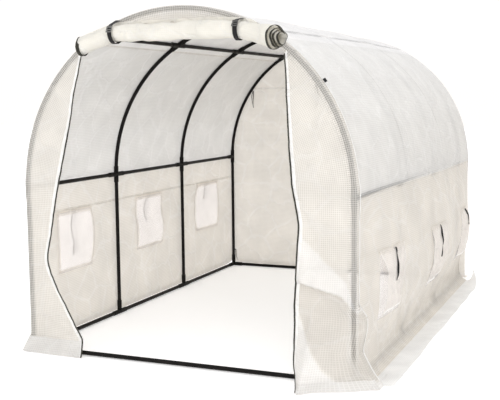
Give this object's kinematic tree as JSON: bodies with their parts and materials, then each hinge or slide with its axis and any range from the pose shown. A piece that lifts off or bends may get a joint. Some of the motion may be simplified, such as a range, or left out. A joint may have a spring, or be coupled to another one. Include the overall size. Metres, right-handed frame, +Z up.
{
  "type": "polytunnel greenhouse",
  "caption": "Walk-in hooped tunnel of dark steel tube under a pale woven sheet, with a rolled-up zip door, netted side windows and a ground skirt.",
  "frame": {"origin": "on the ground at the middle of the footprint, skirts included", "axes": "+Y along the tunnel from the door end to the closed end, +X to the right seen from the door, +Z up"},
  "size_m": [2.404, 3.404, 2.0038],
  "materials": {
    "tube_paint": "satin dark brown powder coat",
    "fitting_paint": "satin dark brown powder coat",
    "cover_sheet": "translucent woven polyethylene with a fine grid",
    "door_sheet": "translucent woven polyethylene, creamy where it is rolled",
    "flap_sheet": "soft translucent sheet",
    "window_net": "fine white mesh",
    "webbing": "black woven tape",
    "zip_tape": "dark olive grey zip on tape"
  },
  "bodies": {
    "root": {"front_hoop_legs": "tube_paint", "front_hoop_bows": "tube_paint", "middle_hoop_1_legs": "tube_paint", "middle_hoop_1_bows": "tube_paint", "middle_hoop_2_legs": "tube_paint", "middle_hoop_2_bows": "tube_paint", "rear_hoop_legs": "tube_paint", "rear_hoop_bows": "tube_paint", "left_base_rail": "tube_paint", "right_base_rail": "tube_paint", "left_wall_purlin": "tube_paint", "right_wall_purlin": "tube_paint", "left_roof_purlin": "tube_paint", "right_roof_purlin": "tube_paint", "front_base_rail": "tube_paint", "rear_base_rail": "tube_paint", "base_corners": "fitting_paint", "base_tees": "fitting_paint", "end_wall_tees": "fitting_paint", "middle_wall_crosses": "fitting_paint", "end_roof_tees": "fitting_paint", "middle_roof_crosses": "fitting_paint", "left_wall_cover": "cover_sheet", "left_shoulder_cover": "cover_sheet", "left_skirt": "cover_sheet", "left_window_nets": "window_net", "left_window_flaps": "flap_sheet", "left_window_ties": "webbing", "right_wall_cover": "cover_sheet", "right_shoulder_cover": "cover_sheet", "right_skirt": "cover_sheet", "right_window_nets": "window_net", "right_window_flaps": "flap_sheet", "right_window_ties": "webbing", "roof_cover": "cover_sheet", "rear_wall_cover": "cover_sheet", "rear_gable_cover": "cover_sheet", "rear_skirt": "cover_sheet", "front_left_flap": "cover_sheet", "front_right_flap": "cover_sheet", "front_right_skirt": "cover_sheet", "front_gable_cover": "door_sheet", "door_roll": "door_sheet", "roll_straps": "webbing", "door_zips": "zip_tape"}
  },
  "joints": []
}
